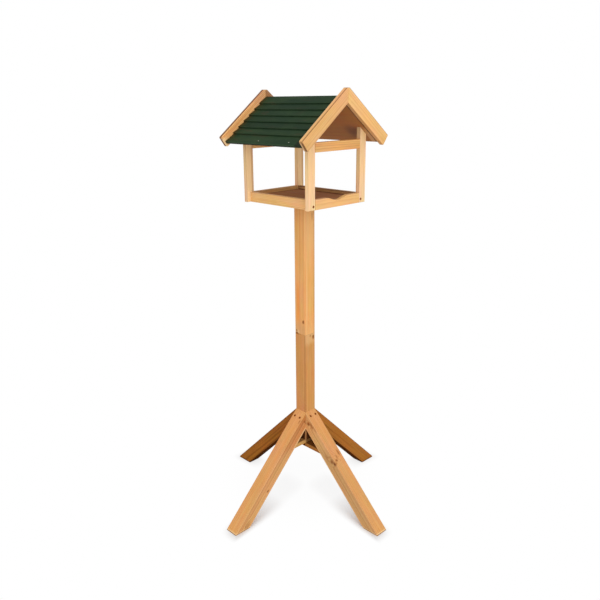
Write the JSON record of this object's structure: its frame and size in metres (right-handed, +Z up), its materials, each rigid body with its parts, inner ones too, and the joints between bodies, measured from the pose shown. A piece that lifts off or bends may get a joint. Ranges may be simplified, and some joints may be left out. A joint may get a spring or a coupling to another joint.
{
  "type": "bird table",
  "caption": "Wooden bird table: a gabled feeding house with a lapped green roof and a railed tray, on a square post with raking legs.",
  "frame": {"origin": "on the ground under the post's axis, midway between the four feet", "axes": "+Z up the post; the ridge runs along Y; -Y towards the gable with the scooped tray rail (front); +X to the right seen from the front"},
  "size_m": [0.708, 0.708, 1.4044],
  "materials": {
    "upper_post_wood": "planed pine, light honey, satin",
    "lower_post_wood": "planed pine, pinkish brown, satin",
    "leg_wood": "planed pine, honey, satin",
    "brace_wood": "planed pine, pale, matte",
    "dowel_wood": "turned beech, matte",
    "house_wood": "planed pine, cream, matte",
    "rail_wood": "planed pine, light honey, matte",
    "floor_wood": "dark brown panel, matte",
    "lining_wood": "brown panel, matte",
    "barge_wood": "planed pine, warm honey, satin",
    "green_stain": "dark green wood stain, satin",
    "zinc_steel": "zinc plated"
  },
  "bodies": {
    "root": {"brace_across": "brace_wood", "brace_along": "brace_wood", "brace_screw": "zinc_steel", "front_gable_tie": "house_wood", "front_left_barge_board": "barge_wood", "front_left_corner_post": "house_wood", "front_left_corner_roof_screw": "zinc_steel", "front_left_corner_screw": "zinc_steel", "front_leg": "leg_wood", "front_leg_screw_1": "zinc_steel", "front_leg_screw_2": "zinc_steel", "front_rail": "rail_wood", "front_right_barge_board": "barge_wood", "front_right_corner_post": "house_wood", "front_right_corner_roof_screw": "zinc_steel", "front_right_corner_screw": "zinc_steel", "left_leg": "leg_wood", "left_leg_screw_1": "zinc_steel", "left_leg_screw_2": "zinc_steel", "left_rail": "rail_wood", "left_roof_board_1": "green_stain", "left_roof_board_2": "green_stain", "left_roof_board_3": "green_stain", "left_roof_board_4": "green_stain", "left_roof_board_5": "green_stain", "left_roof_board_6": "green_stain", "left_roof_board_7": "green_stain", "left_roof_lining": "lining_wood", "lower_post": "lower_post_wood", "post_joint_dowel": "dowel_wood", "rear_gable_tie": "house_wood", "rear_left_barge_board": "barge_wood", "rear_left_corner_post": "house_wood", "rear_left_corner_roof_screw": "zinc_steel", "rear_left_corner_screw": "zinc_steel", "rear_leg": "leg_wood", "rear_leg_screw_1": "zinc_steel", "rear_leg_screw_2": "zinc_steel", "rear_rail": "rail_wood", "rear_right_barge_board": "barge_wood", "rear_right_corner_post": "house_wood", "rear_right_corner_roof_screw": "zinc_steel", "rear_right_corner_screw": "zinc_steel", "right_leg": "leg_wood", "right_leg_screw_1": "zinc_steel", "right_leg_screw_2": "zinc_steel", "right_rail": "rail_wood", "right_roof_board_1": "green_stain", "right_roof_board_2": "green_stain", "right_roof_board_3": "green_stain", "right_roof_board_4": "green_stain", "right_roof_board_5": "green_stain", "right_roof_board_6": "green_stain", "right_roof_board_7": "green_stain", "right_roof_lining": "lining_wood", "tray_floor": "floor_wood", "tray_screw_1": "zinc_steel", "tray_screw_2": "zinc_steel", "upper_post": "upper_post_wood"}
  },
  "joints": []
}
